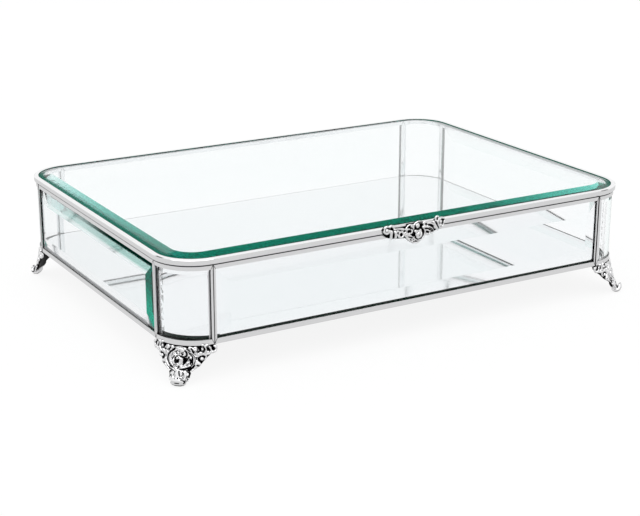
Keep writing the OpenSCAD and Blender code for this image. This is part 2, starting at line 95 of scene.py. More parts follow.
def surface(tree):
    """What a finish may ask of a point: its place, the way it faces, how low it is met, from 0 squarely to 1
    edge on, and whether that is from outside."""
    coordinates = add(tree, "TexCoord").outputs
    spot = add(tree, "SeparateXYZ", (coordinates["Object"],)).outputs
    shape = add(tree, "NewGeometry").outputs
    way = add(tree, "SeparateXYZ", (shape["Normal"],)).outputs
    return SimpleNamespace(
        place=coordinates["Object"], x=spot["X"], y=spot["Y"], z=spot["Z"],
        way_x=way["X"], way_y=way["Y"], way_z=way["Z"], way_when_closed=coordinates["Normal"],
        grazing=add(tree, "LayerWeight", {"Blend": 0.5}).outputs["Facing"],
        outside=add(tree, "Math", (1.0, shape["Backfacing"]), operation="SUBTRACT"))


def where(tree, most, *limits):
    """The share of a finish that shows: most of it where every quantity has passed the second of its two
    limits, and none where one is short of its first."""
    share = most
    for value, at_none, at_all in limits:
        passed = add(tree, "MapRange", {"Value": value, "From Min": at_none, "From Max": at_all})
        share = add(tree, "Math", (share, passed), operation="MULTIPLY")
    return share


def from_edge(edge, *off_mm):
    """Two limits, given as millimetres from an edge."""
    return [edge + off * MM for off in off_mm]


def in_mm(metres):
    """A length from the frame in the millimetres that the castings are drawn in."""
    return round(metres / MM, 3)


# ---- sizes, in metres ----

front_low, front_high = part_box("front_frame")
side_low, side_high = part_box("left_frame")
mirror_low, mirror_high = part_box("mirror_floor")
rim_low, rim_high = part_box("lid_rim")

FRAME_FOOT = front_low.z
SEAM_Z = front_high.z
RIM_TOP = rim_high.z
CORNER_AXIS = (front_high.x, side_high.y)

# How wide a frame's uprights, top rails and bottom rails are, seen from outside
UPRIGHT = 0.0014
TOP_RAIL = 0.0025
BOTTOM_RAIL = 0.003

# Where a pane comes out of its rails, and the lid's bevel out of the rim
PANE_FOOT = FRAME_FOOT + BOTTOM_RAIL
PANE_TOP = SEAM_Z - TOP_RAIL
LID_BEVEL_FOOT = RIM_TOP - 0.0005

# ---- glass ----

# Soda-lime float glass, its bevels ground and polished. Iron in it takes up red first, so that a long way
# through it looks sea green and a short way is clear.
GLASS_IOR = 1.52
GLASS_DENSITY = 14.0
GLASS_COLOUR = linear("#00d5ca")
CLEAR = linear("#fffcfd")
GLASS_SHADE = linear("#fcfcfc")
CLEAN_FACE = linear("#959595")  # the studio is whiter all round than a room, so the panes mirror less of it
BEVEL_HAZE = 0.07

# A face's lean, as one part of its direction: where it is no longer a flat face, and where it is a bevel
# that looks up or down, or is the upper side of the lid. ALWAYS takes a quantity that is 0 or 1 as it is.
TILTED = (0.998, 0.99)
RISING = (0.08, 0.16)
FALLING = (-0.08, -0.16)
UPPER = (0.2, 0.4)
ALWAYS = (0.0, 1.0)

# Side panes: how low their bevels are met where their painted green shows, and where the upright ones lose it
# again. The painted bands lie in millimetres from the edge of what shows, or in metres along the pane, minus
# to the front. Between the heights of DARKER_Z the painted green of the upright bevels deepens, in clouds, as
# painted shade.
MET_LOW = (0.1, 0.28)
MET_EDGE_ON = (0.7, 0.55)
PALE_BAND_MM = (-7.2, -5.8)
PALE_BAND_Y = (0.05, -0.03)
DARK_LINE_MM = (-2.8, -2.2)
DARK_LINE_Y = (0.04, -0.02)
DARK_END_MM = (-10.0, -8.0)
# the pale band at a side pane's foot is a painted reflection of the white table on its bevel that looks down
TABLE_REFLECTION_MM = (3.0, 2.2)
TABLE_REFLECTION_END_MM = (10.5, 13.5)
TABLE_REFLECTION_SHOWN = 0.8
DARKER_Z = (0.03, 0.052)
CLOUD_MM = 18.18
CLOUD_DEPTH = 2.2

# The lid: how low its front bevel is met where its painted green shows, where a bevel that falls away gets its
# painted shine, and how far above the foot of its bevels its painted dark line ends
FRONT_LEAN = (-0.1, -0.18)
FRONT_MET_LOW = (0.05, 0.3)
SHINING = (0.80, 0.88)
LID_LINE_MM = (0.5, 0.2)
LID_LINE_SHOWN = 0.85
SHINE_SHOWN = 0.85

# Bent panes: the narrow bevel at their upright ends, and the chipped line: how far it lies from the
# corner's axis, half its width, and the size and share of its chips
BENT_BEVEL = 0.0028
MATT_SHOWN = 0.9
CHIP_LINE = 0.0064
CHIP_LINE_HALF = 0.0009
CHIP_MM = 2.381
CHIPPED_OVER = 0.52
CHIPS_SHOWN = 0.45


def float_glass(name, painted_green=None, cover=None, flat=True):
    """Clear float glass: it bends and mirrors what is round it, and shows its green only along its length.
    Where painted_green is given, its bevels get a painted green besides.
    """
    material, tree = new_material(name)
    at = surface(tree)
    body = add(tree, "BsdfPrincipled", {
        "Base Color": painted_green(tree, at) if painted_green else CLEAR, "Roughness": bevel_haze(tree, at) if flat else 0.0,
        "IOR": GLASS_IOR, "Transmission Weight": 1.0, "Specular Tint": CLEAN_FACE})
    face = cover(tree, at, body) if cover else body
    inside = add(tree, "VolumeAbsorption", {"Color": GLASS_COLOUR, "Density": GLASS_DENSITY})
    shade = add(tree, "BsdfTransparent", {"Color": GLASS_SHADE})
    rays = add(tree, "LightPath").outputs
    either = add(tree, "Math", (rays["Is Shadow Ray"], rays["Is Diffuse Ray"]), operation="MAXIMUM")
    add(tree, "OutputMaterial", {"Surface": add(tree, "MixShader", (either, face, shade)), "Volume": inside})
    return material


def bevel_haze(tree, at):
    """Bevels keep a trace of their grinding, so that they blur what is seen in them. The faces are clear."""
    square = 0.0
    for way in (at.way_x, at.way_y, at.way_z):
        lean = add(tree, "Math", (way,), operation="ABSOLUTE")
        square = add(tree, "Math", (square, lean), operation="MAXIMUM")
    return where(tree, BEVEL_HAZE, (square, *TILTED))


def side_bevel_painted_green(tree, at):
    """A painted reflection on a side pane: its outer bevels, met low, are painted green for the light that ran
    down through the pane and that they send back.
    """
    across = add(tree, "Math", (at.way_y,), operation="ABSOLUTE")
    from_middle = add(tree, "Math", (at.y,), operation="ABSOLUTE")
    low = where(tree, at.outside, (at.grazing, *MET_LOW))
    upright = where(tree, low, (across, *RISING), (at.grazing, *MET_EDGE_ON))
    top = where(tree, low, (at.way_z, *RISING), (at.y, *PALE_BAND_Y),
                (at.z, *from_edge(PANE_TOP, *PALE_BAND_MM)))
    bottom = where(tree, low, (at.way_z, *FALLING), (from_middle, *from_edge(CORNER_AXIS[1], *DARK_END_MM)))
    # the upright bevels are painted darker where their image of the pane is long
    cloud = add(tree, "TexNoise", {"Vector": at.place, "Scale": spots_per_metre(CLOUD_MM), "Detail": 2.0})
    height = add(tree, "MapRange", {"Value": at.z, "From Min": DARKER_Z[0], "From Max": DARKER_Z[1],
                                    "To Min": -CLOUD_DEPTH / 2, "To Max": 1 - CLOUD_DEPTH / 2})
    dark = add(tree, "Math", (cloud, CLOUD_DEPTH, height), operation="MULTIPLY_ADD", use_clamp=True)
    # painted reflection: the pale band, the deep green and the dark ends are painted into the glass's colour
    deep = add(tree, "MixRGB", (dark, linear("#00865f"), linear("#005240")))
    painted_green = add(tree, "MixRGB", (top, CLEAR, linear("#93c4b8")))
    painted_green = add(tree, "MixRGB", (upright, painted_green, deep))
    return add(tree, "MixRGB", (bottom, painted_green, linear("#003a2d")))


def side_edge_line(tree, at, body):
    """A painted dark green line, painted shade along the edge of a side pane's top bevel, and a pale painted
    reflection of the table along the bevel at its foot.
    """
    # painted shade: a dark green line along the top bevel's edge
    line = where(tree, at.outside, (at.z, *from_edge(PANE_TOP, *DARK_LINE_MM)), (at.way_z, *RISING),
                 (at.y, *DARK_LINE_Y), (at.grazing, *MET_LOW))
    dark = add(tree, "BsdfDiffuse", {"Color": linear("#003428")})
    topped = add(tree, "MixShader", (line, body, dark))
    # painted reflection: the pale ground below, mirrored in the bevel that looks down at the pane's foot
    foot = where(tree, TABLE_REFLECTION_SHOWN, (at.outside, *ALWAYS), (at.way_z, *FALLING),
                 (at.z, *from_edge(PANE_FOOT, *TABLE_REFLECTION_MM)),
                 (at.y, *from_edge(-CORNER_AXIS[1], *TABLE_REFLECTION_END_MM)))
    ground = add(tree, "BsdfDiffuse", {"Color": linear("#e4e6e8")})
    return add(tree, "MixShader", (foot, topped, ground))


def lid_bevel_painted_green(tree, at):
    """Painted green on the lid glass: deep green in the front bevel, standing in for light seen low down
    through much glass.
    """
    front = where(tree, at.outside, (at.way_z, *UPPER), (at.way_y, *FRONT_LEAN), (at.grazing, *FRONT_MET_LOW))
    return add(tree, "MixRGB", (front, CLEAR, linear("#40c2ac")))


def lid_edge_line(tree, at, body):
    """A painted dark green line, painted shade where a side bevel of the lid goes into the rim, and a painted
    shine on a bevel that falls away, which is met so low that its polish looks like the metal beside it."""
    side = add(tree, "Math", (at.way_x,), operation="ABSOLUTE")
    # painted shade: the dark green line where a side bevel goes into the rim
    line = where(tree, LID_LINE_SHOWN, (at.outside, *ALWAYS), (at.way_z, *UPPER), (side, *RISING),
                 (at.z, *from_edge(LID_BEVEL_FOOT, *LID_LINE_MM)))
    dark = add(tree, "BsdfDiffuse", {"Color": linear("#106554")})
    lined = add(tree, "MixShader", (line, body, dark))
    # painted shine: pale where a bevel that falls away is met low
    shine = where(tree, SHINE_SHOWN, (at.outside, *ALWAYS), (at.way_z, *UPPER), (at.way_z, *TILTED),
                  (at.grazing, *SHINING))
    pale = add(tree, "BsdfDiffuse", {"Color": linear("#c6c9ca")})
    return add(tree, "MixShader", (shine, lined, pale))


def past_axis(tree, at):
    """How far a point lies past the nearest corner's axis, along the front and along the side."""
    past = []
    for along, axis in zip((at.x, at.y), CORNER_AXIS):
        from_middle = add(tree, "Math", (along,), operation="ABSOLUTE")
        past.append(add(tree, "Math", (from_middle, axis), operation="SUBTRACT"))
    return past


def ground_ends(tree, at, body):
    """A bent pane's upright ends, matt from grinding, with a chipped line along the end to the side."""
    past = past_axis(tree, at)
    ends = [add(tree, "Math", (off, BENT_BEVEL), operation="LESS_THAN") for off in past]
    matt = add(tree, "Math", ends, operation="MAXIMUM")
    line = add(tree, "Math", (past[1], CHIP_LINE, CHIP_LINE_HALF), operation="COMPARE")
    bits = add(tree, "TexNoise", {"Vector": at.place, "Scale": spots_per_metre(CHIP_MM), "Detail": 1.0})
    broken = add(tree, "Math", (bits, CHIPPED_OVER), operation="GREATER_THAN")
    in_front = add(tree, "Math", (at.y, 0.0), operation="LESS_THAN")
    chips = where(tree, line, (broken, *ALWAYS), (in_front, *ALWAYS))
    shares = (where(tree, MATT_SHOWN, (matt, *ALWAYS)), where(tree, CHIPS_SHOWN, (chips, *ALWAYS)))
    shown = where(tree, at.outside, (add(tree, "Math", shares, operation="MAXIMUM"), *ALWAYS))
    colour = add(tree, "MixRGB", (chips, linear("#f2f2f4"), linear("#1c1f20")))
    frost = add(tree, "BsdfGlossy", {"Color": colour, "Roughness": 0.3})
    return add(tree, "MixShader", (shown, body, frost))


# ---- metal, mirror and solder ----

SILVER = linear("#f3f3f4")
SHADE_AND_TARNISH = linear("#090a0a")
POLISH = 0.12

# Silver channel: painted shade, black, fills crevices this deep. Above the seam the rim's inner and upper
# faces are left without it, and above RIM_UNSHADED all of it. The polish's strokes are finer, and are drawn
# this wide so that they show.
CREVICE_MM = 1.6
OPEN_TO_SHUT = (0.85, 0.5)
CREVICE_DULL = 0.5
ABOVE_SEAM = SEAM_Z + 0.0003
RIM_UNSHADED = RIM_TOP - 0.0015
UNSHADED_EDGE_MM = (-0.4, 0.0)
STROKE_MM = 2.5
MITRE_CUT = 0.0002
MITRE_SHOWN = 0.75
FACES_UP = 0.7

# Castings: the ragged edge between black and bright, in width and in depth, and the share of painted shade,
# black, on what looks down
RAGGED_MM = 1.111
RAGGED = 0.22
BLACK_FROM_TO = (0.3, 0.75)
UNDERSIDE = (-0.3, -0.7)
UNDERSIDE_SHADE = 0.7

# Solder, blotched by its patina
BLOTCH_MM = 4.0


def mitre_lines(tree, at):
    """1 along the cut lines where a frame's uprights and rails meet."""
    past = [add(tree, "Math", (off,), operation="ABSOLUTE") for off in past_axis(tree, at)]
    to_end = add(tree, "Math", past, operation="MINIMUM")
    beside = add(tree, "Math", (to_end, UPRIGHT), operation="LESS_THAN")
    under_top = add(tree, "Math", (SEAM_Z, at.z), operation="SUBTRACT")
    over_foot = add(tree, "Math", (at.z, FRAME_FOOT), operation="SUBTRACT")
    lines = 0.0
    for rail, height in ((TOP_RAIL, under_top), (BOTTOM_RAIL, over_foot)):
        slope = add(tree, "Math", (height, UPRIGHT / rail), operation="MULTIPLY")
        cut = add(tree, "Math", (slope, to_end, MITRE_CUT), operation="COMPARE")
        within = add(tree, "Math", (height, 0.0), operation="GREATER_THAN")
        near = where(tree, cut, (beside, *ALWAYS), (within, *ALWAYS))
        lines = add(tree, "Math", (lines, near), operation="MAXIMUM")
    return lines


def rim_left_unshaded(tree, at):
    """1 on the faces of the lid's rim that are left without painted shade: the inner and upper ones above the
    seam, and its lip.
    """
    outward = add(tree, "VectorMath", (at.place, at.way_when_closed), operation="DOT_PRODUCT")
    upward = add(tree, "SeparateXYZ", (at.way_when_closed,)).outputs["Z"]
    inner = add(tree, "Math", (outward.outputs["Value"], 0.0), operation="LESS_THAN")
    upper = add(tree, "Math", (upward, FACES_UP), operation="GREATER_THAN")
    above_seam = add(tree, "Math", (at.z, ABOVE_SEAM), operation="GREATER_THAN")
    either = add(tree, "Math", (inner, upper), operation="MAXIMUM")
    faces = where(tree, above_seam, (either, *ALWAYS))
    lip = where(tree, 1.0, (at.z, *from_edge(RIM_UNSHADED, *UNSHADED_EDGE_MM)))
    return add(tree, "Math", (faces, lip), operation="MAXIMUM")


def silver(name, mitred=False):
    """Silver plated brass, polished by hand: bright faces, with painted shade, black, in its crevices."""
    material, tree = new_material(name)
    at = surface(tree)
    strokes = add(tree, "TexNoise", {"Vector": at.place, "Scale": spots_per_metre(STROKE_MM), "Detail": 4.0})
    polish = add(tree, "MapRange", {"Value": strokes, "To Min": 0.7 * POLISH, "To Max": 1.4 * POLISH})
    open_sky = add(tree, "AmbientOcclusion", {"Distance": CREVICE_MM * MM}, samples=8).outputs["AO"]
    # painted shade: black where ambient occlusion finds a crevice, except on the rim's faces left unshaded
    crevice_shade = where(tree, 1.0, (open_sky, *OPEN_TO_SHUT), (rim_left_unshaded(tree, at), 1.0, 0.0))
    colour = add(tree, "MixRGB", (crevice_shade, SILVER, SHADE_AND_TARNISH))
    if mitred:
        cuts = where(tree, MITRE_SHOWN, (mitre_lines(tree, at), *ALWAYS))
        colour = add(tree, "MixRGB", (cuts, colour, SHADE_AND_TARNISH))
    rough = add(tree, "Math", (crevice_shade, CREVICE_DULL, polish), operation="MULTIPLY_ADD")
    body = add(tree, "BsdfPrincipled", {"Base Color": colour, "Metallic": 1.0, "Roughness": rough})
    add(tree, "OutputMaterial", {"Surface": body})
    return material


def cast_silver(name):
    """Silver plated casting, dipped black and rubbed: bright where the cloth reached, black in the ground,
    with painted shade, black, on what looks down.
    """
    material, tree = new_material(name)
    at = surface(tree)
    depth = add(tree, "Attribute", attribute_name="tarnish_and_shade").outputs["Fac"]
    wear = add(tree, "TexNoise", {"Vector": at.place, "Scale": spots_per_metre(RAGGED_MM), "Detail": 5.0})
    ragged = add(tree, "MapRange", {"Value": wear, "To Min": -RAGGED, "To Max": RAGGED})
    sunk = add(tree, "Math", (depth, ragged), operation="ADD")
    # painted shade: black on what looks down
    under = where(tree, UNDERSIDE_SHADE, (at.way_z, *UNDERSIDE))
    either = add(tree, "Math", (sunk, under), operation="MAXIMUM")
    black = where(tree, 1.0, (either, *BLACK_FROM_TO))
    colour = add(tree, "MixRGB", (black, linear("#efeff0"), linear("#060607")))
    rough = add(tree, "MapRange", {"Value": black, "To Min": 0.16, "To Max": 0.6})
    body = add(tree, "BsdfPrincipled", {"Base Color": colour, "Metallic": 1.0, "Roughness": rough})
    add(tree, "OutputMaterial", {"Surface": body})
    return material


def set_stops(ramp, stops):
    """Gives a colour ramp its stops, each a position and a colour."""
    while len(ramp.elements) > 1:
        ramp.elements.remove(ramp.elements[-1])
    ramp.elements[0].position, ramp.elements[0].color = stops[0]
    for position, colour in stops[1:]:
        ramp.elements.new(position).color = colour


def mirror(name):
    """Silvered float glass: a mirror from above, dark green at its cut edge, grey backing paint below."""
    material, tree = new_material(name)
    at = surface(tree)
    silvered = add(tree, "Math", (at.way_z, FACES_UP), operation="GREATER_THAN")
    painted = add(tree, "Math", (at.way_z, -FACES_UP), operation="LESS_THAN")
    edge = add(tree, "ValToRGB", (where(tree, 1.0, (at.z, mirror_low.z, mirror_high.z)),))
    set_stops(edge.color_ramp, (
        (0.45, linear("#020303")), (0.66, linear("#0e3527")), (0.86, linear("#040606"))))
    below = add(tree, "MixRGB", (painted, edge, linear("#6f7577")))
    colour = add(tree, "MixRGB", (silvered, below, linear("#f6f7f8")))
    rough = add(tree, "MapRange", {"Value": silvered, "To Min": 0.3, "To Max": 0.03})
    body = add(tree, "BsdfPrincipled", {"Base Color": colour, "Metallic": silvered, "Roughness": rough})
    add(tree, "OutputMaterial", {"Surface": body})
    return material


def dark_solder(name):
    """Solder run into the grooves and blackened with patina: dull, and almost black."""
    material, tree = new_material(name)
    at = surface(tree)
    blotch = add(tree, "TexNoise", {"Vector": at.place, "Scale": spots_per_metre(BLOTCH_MM), "Detail": 3.0})
    colour = add(tree, "MixRGB", (blotch, linear("#060606"), linear("#1b1c1d")))
    body = add(tree, "BsdfPrincipled", {"Base Color": colour, "Roughness": 0.7})
    add(tree, "OutputMaterial", {"Surface": body})
    return material


MATERIALS = {
    "silver_channel": silver("silver_plated_channel", mitred=True),
    "hinge_silver": silver("silver_plated_hinge"),
    "cast_silver": cast_silver("silver_plated_casting"),
    "pane_glass": float_glass("bevelled_float_glass"),
    "lid_glass": float_glass("lid_float_glass", painted_green=lid_bevel_painted_green, cover=lid_edge_line),
    "mirror_glass": mirror("silvered_mirror"),
    "dark_solder": dark_solder("patinated_solder"),
}
bent_glass = float_glass("bent_float_glass", cover=ground_ends, flat=False)
side_glass = float_glass("side_float_glass", painted_green=side_bevel_painted_green, cover=side_edge_line)


def finish_of(part):
    """A node's finish: its slot's own, apart from the panes that are ground or met in another way."""
    if part["node"].startswith("bent_pane"):
        return bent_glass
    if part["node"] in ("left_pane", "right_pane"):
        return side_glass
    return MATERIALS[part["material_slot"]]


for part in frame["record"]["subparts"]:
    mesh = frame["nodes"][part["node"]].data
    mesh.materials.clear()
    mesh.materials.append(finish_of(part))

# ---- castings ----
# A casting is drawn flat in millimetres, as along, down and out from the metal that carries it. Its
# strands, leaves and beads are fused and smoothed, its gaps are carved, and it is then laid in place.

CAST_GRAIN = 0.19
SMOOTHING = 2  # rounds
BOLD = 1.2  # a strand is this much thicker than it is drawn
TUBE_SIDES = 10
BEAD_SIDES = 12
BEAD_RINGS = 8
START = (-0.95, -0.6, 0.0)  # the rings of a strand's round ends, in radii
END = (0.0, 0.6, 0.95)
# A leaf's halves: how far apart they lie, and how thick their root, tip and middle are, as shares of its width
LEAF_SPREAD = 0.3
LEAF_ROOT = 0.14
LEAF_TIP = 0.06
LEAF_SWELL = 0.2

# How far out a gap's ground lies, what is too proud to be cut, and how soft a gap's edges are
SUNK = 0.3
HIGHEST = 2.4
GAP_EDGE = 0.16
GAP_LIP = 0.1

# Black stays where the relief lies low, and in its finer and broader hollows. Those are measured by how
# far smoothing lifts a point, between two limits, after so many rounds. GROUND_END is the length over
# which the low black ends.
GROUND = (0.55, 0.4)
FINE_HOLLOW = (10, 0.010, 0.055)
BROAD_HOLLOW = (36, 0.035, 0.155)
GROUND_END = 1.5
BEYOND = 99.0  # further down than any casting reaches


def curl(centre, r_from, r_to, turn_from, turn_to, steps=18):
    """Points of a scroll, whose radius and angle run evenly about its eye. Angles turn from along to down."""
    points = []
    for i in range(steps + 1):
        t = i / steps
        r = r_from + (r_to - r_from) * t
        a = math.radians(turn_from + (turn_to - turn_from) * t)
        points.append((centre[0] + r * math.cos(a), centre[1] + r * math.sin(a)))
    return points


def oval(centre, half_w, half_h, turn_from=0, turn_to=360, steps=36):
    """Points of an oval round a centre, between two angles."""
    turns = [math.radians(turn_from + (turn_to - turn_from) * i / steps) for i in range(steps + 1)]
    return [(centre[0] + half_w * math.cos(a), centre[1] + half_h * math.sin(a)) for a in turns]


def bow(p, q, r, steps=10):
    """Points of a smooth stem from p to r, drawn towards q."""
    weights = [((1 - t) ** 2, 2 * t * (1 - t), t * t) for t in (i / steps for i in range(steps + 1))]
    return [tuple(a * x + b * y + c * z for x, y, z in zip(p, q, r)) for a, b, c in weights]


def direction(path, i):
    """The way that a path runs at one of its points."""
    a, b = path[max(i - 1, 0)], path[min(i + 1, len(path) - 1)]
    return Vector((b[0] - a[0], b[1] - a[1])).normalized()


def tube_ring(centre, way, r, height):
    """One ring of a strand that runs that way."""
    side, ring = Vector((-way[1], way[0])), []
    for k in range(TUBE_SIDES):
        a = 2 * math.pi * (k + 0.5) / TUBE_SIDES
        spot = centre + side * (r * math.cos(a))
        ring.append((spot[0], spot[1], height + r * math.sin(a)))
    return ring


def passed(values, limits):
    """Runs from 0 to 1 as each value passes between two limits."""
    return np.clip((values - limits[0]) / (limits[1] - limits[0]), 0, 1)


def apart(spots, path):
    """How far each point lies from a path, seen flat."""
    best = np.full(len(spots), np.inf)
    for a, b in zip(path, path[1:]):
        a, b = np.array(a), np.array(b)
        way = b - a
        t = np.clip((spots[:, :2] - a) @ way / max(way @ way, 1e-9), 0, 1)
        best = np.minimum(best, np.linalg.norm(spots[:, :2] - a - t[:, None] * way, axis=1))
    return best


def relax(spots, edges, rounds):
    """Moves every point half way to the mean of its neighbours, several times over."""
    for _ in range(rounds):
        total, count = np.zeros_like(spots), np.zeros(len(spots))
        for a, b in ((0, 1), (1, 0)):
            np.add.at(total, edges[:, a], spots[edges[:, b]])
            np.add.at(count, edges[:, a], 1)
        spots = 0.5 * spots + 0.5 * total / count[:, None]
    return spots


def read(items, what, width, kind=float):
    """One row of numbers for each point or edge of a mesh."""
    numbers = np.empty(len(items) * width, kind)
    items.foreach_get(what, numbers)
    return numbers.reshape(-1, width)


class Relief:
    """Collects the closed shapes and the gaps of one casting, drawn flat."""

    def __init__(self):
        self.points, self.faces, self.gaps = [], [], []

    def gap(self, half_w, *path):
        """A gap between leaves or petals, half_w to each side of a path, that goes down to the ground."""
        self.gaps.append((half_w, path if len(path) > 1 else path * 2))

    def rings(self, rings):
        """Joins rings of equal count into a closed skin."""
        sides, start = len(rings[0]), len(self.points)
        for ring in rings:
            self.points.extend(ring)
        for i in range(len(rings) - 1):
            for k in range(sides):
                a, b = start + i * sides + k, start + i * sides + (k + 1) % sides
                self.faces.append((a, b, b + sides, a + sides))
        self.faces.append(tuple(start + k for k in reversed(range(sides))))
        last = start + (len(rings) - 1) * sides
        self.faces.append(tuple(last + k for k in range(sides)))

    def strand(self, path, r_from, r_to=None, out=0.8, out_to=None, swell=0.0):
        """A round tapering strand with round ends. swell makes its middle thicker."""
        r_to = r_from if r_to is None else r_to
        out_to = out if out_to is None else out_to
        path, spans, rings = [Vector(p) for p in path], [0.0], []
        for a, b in zip(path, path[1:]):
            spans.append(spans[-1] + (b - a).length)
        for i, at in enumerate(path):
            t, way = spans[i] / spans[-1], direction(path, i)
            r = BOLD * (r_from + (r_to - r_from) * t + swell * math.sin(math.pi * t))
            height = out + (out_to - out) * t
            for c in START if i == 0 else END if at is path[-1] else (0.0,):
                rings.append(tube_ring(at + way * (r * c), way, r * math.sqrt(1 - c * c), height))
        self.rings(rings)

    def bead(self, along, down, r, out):
        """A round bead."""
        rings = []
        for i in range(1, BEAD_RINGS):
            tilt = math.pi * i / BEAD_RINGS
            wide, height = r * math.sin(tilt), out - r * math.cos(tilt)
            turns = [2 * math.pi * k / BEAD_SIDES for k in range(BEAD_SIDES)]
            rings.append([(along + wide * math.cos(a), down + wide * math.sin(a), height) for a in turns])
        self.rings(rings)

    def leaf(self, root, bend, tip, width, out):
        """A leaf of two swelling halves with a sunk vein between them."""
        middle = bow(root, bend, tip)
        for side in (-1, 1):
            half = []
            for i, p in enumerate(middle):
                way = direction(middle, i)
                off = side * LEAF_SPREAD * width * math.sin(math.pi * min(1, 0.1 + i / len(middle)))
                half.append((p[0] - way[1] * off, p[1] + way[0] * off))
            self.strand(half, LEAF_ROOT * width, LEAF_TIP * width, out, swell=LEAF_SWELL * width)

    def plate(self, outline, low, high):
        """A flat plate between two heights."""
        start, count = len(self.points), len(outline)
        self.points += [(p[0], p[1], low) for p in outline] + [(p[0], p[1], high) for p in outline]
        self.faces.append(tuple(start + k for k in reversed(range(count))))
        self.faces.append(tuple(start + count + k for k in range(count)))
        for k in range(count):
            n = (k + 1) % count
            self.faces.append((start + k, start + n, start + count + n, start + count + k))

    def fuse(self, name):
        """One skin round all the shapes, where they run into each other as cast metal does."""
        mesh = bpy.data.meshes.new(name + "_shapes")
        mesh.from_pydata(self.points, [], self.faces)
        rough = bpy.data.objects.new(name + "_shapes", mesh)
        scene.collection.objects.link(rough)
        remesh = rough.modifiers.new("fuse", "REMESH")
        remesh.mode = "VOXEL"
        remesh.voxel_size = CAST_GRAIN
        fused = bpy.data.meshes.new_from_object(rough.evaluated_get(bpy.context.evaluated_depsgraph_get()))
        fused.name = name
        bpy.data.objects.remove(rough)
        bpy.data.meshes.remove(mesh)
        return fused

    def carve(self, spots):
        """Sinks the gaps to the ground. Returns how far each point lies in one, from 0 to 1."""
        in_gap = np.zeros(len(spots))
        for half_w, path in self.gaps:
            edge = (half_w + GAP_EDGE / 2, half_w - GAP_EDGE / 2)
            in_gap = np.maximum(in_gap, passed(apart(spots, path), edge))
        in_gap *= passed(spots[:, 2], (SUNK, SUNK + GAP_LIP))
        spots[:, 2] -= in_gap * (spots[:, 2] - SUNK) * (spots[:, 2] < HIGHEST)
        return in_gap

    def cast(self, name, lay, ground_ends=BEYOND, plain_back=False):
        """Makes the casting's mesh: lay puts each drawn point in its place, and the attribute
        tarnish_and_shade marks
        what stays black: patina in gaps, hollows and low ground, and, unless plain_back, painted shade on the
        backs. Further down than ground_ends, only hollows do."""
        fused = self.fuse(name)
        edges = read(fused.edges, "vertices", 2, int)
        spots = relax(read(fused.vertices, "co", 3), edges, SMOOTHING)
        in_gap = self.carve(spots)
        fused.vertices.foreach_set("co", spots.ravel())
        fused.update()
        facing = read(fused.vertices, "normal", 3)
        black = [in_gap]
        for rounds, *limits in (FINE_HOLLOW, BROAD_HOLLOW):
            lifted = ((relax(spots, edges, rounds) - spots) * facing).sum(1)
            black.append(passed(lifted, limits))
        ground = passed(spots[:, 2], GROUND) * passed(spots[:, 1], (ground_ends, ground_ends - GROUND_END))
        # painted shade: unless plain_back, the backs that face the metal lie low and take the ground's black
        black.append(ground * (facing[:, 2] > -0.5) if plain_back else ground)
        mark = fused.attributes.new("tarnish_and_shade", "FLOAT", "POINT")
        mark.data.foreach_set("value", np.max(black, axis=0))
        fused.vertices.foreach_set("co", (np.array([lay(*spot) for spot in spots]) * MM).ravel())
        fused.shade_smooth()
        fused.update()
        return fused


# ---- feet ----

CORNER_R = in_mm(-side_low.x - CORNER_AXIS[0])
FOOT_H = in_mm(FRAME_FOOT)
FOOT_WALL_R = CORNER_R - 1.0  # just inside the frames' outer faces
FOOT_FLARE = 6.6
FOOT_STRETCH = 1.0137  # makes up for what smoothing takes off the height, so that the toe meets the table
FOOT_OUTLINE = (
    (18.2, 0.0), (19.4, 0.9), (19.0, 2.2), (17.6, 3.6), (16.0, 4.8), (13.8, 6.2), (12.0, 7.8), (10.6, 9.2),
    (8.9, 10.4), (7.0, 11.4), (5.8, 12.2), (4.6, 12.8), (5.3, 13.8), (4.9, 15.0), (4.1, 16.2))
FOOT_PLATE = (-0.75, 0.25)
NECK_END = 16.5

# The toe: how far down it leaves the neck and how proud of it, the eye that it turns round, how square and
# how thick it is, how hollow it gets across, its half widths from the neck to the tip, and its ribs, each a
# place and a half width as shares of the toe's
TOE_FROM = (11.0, 12.6, 14.2, 15.4)
TOE_PROUD = 0.4
TOE_EYE = (28.6, 3.3)
TOE_BEND_R = 2.68
TOE_TURN = (208, 408)
TOE_BEND_STEPS = 10
TOE_SIDES = 14
TOE_SQUARE = 0.7
TOE_HALF_T = 0.5
TOE_CUP = 1.1
TOE_WIDEST = 4.6
TOE_WIDTHS = (4.0, 3.9, 3.8, 3.8, 3.9, 4.0, 4.1, 4.2, 4.2, 4.2, 4.0, 3.7, 3.2, 2.5, 1.6)
TOE_RIBS = ((-0.86, 0.5), (-0.32, 0.85), (0.32, 0.85), (0.86, 0.5))
RIB_HALF_T = 0.6
RIB_LIFT = 0.62


def foot_wall_r(down):
    """How far the flaring wall lies from the corner's axis."""
    return FOOT_WALL_R + FOOT_FLARE * (max(down, 0.0) / FOOT_H) ** 1.6


def lay_foot(along, down, out):
    """Bends a drawn point round the corner and down the flaring wall, about the corner's own axis."""
    a, r = along / CORNER_R, foot_wall_r(down) + out
    return r * math.cos(a), r * math.sin(a), FOOT_H - min(down * FOOT_STRETCH, FOOT_H)


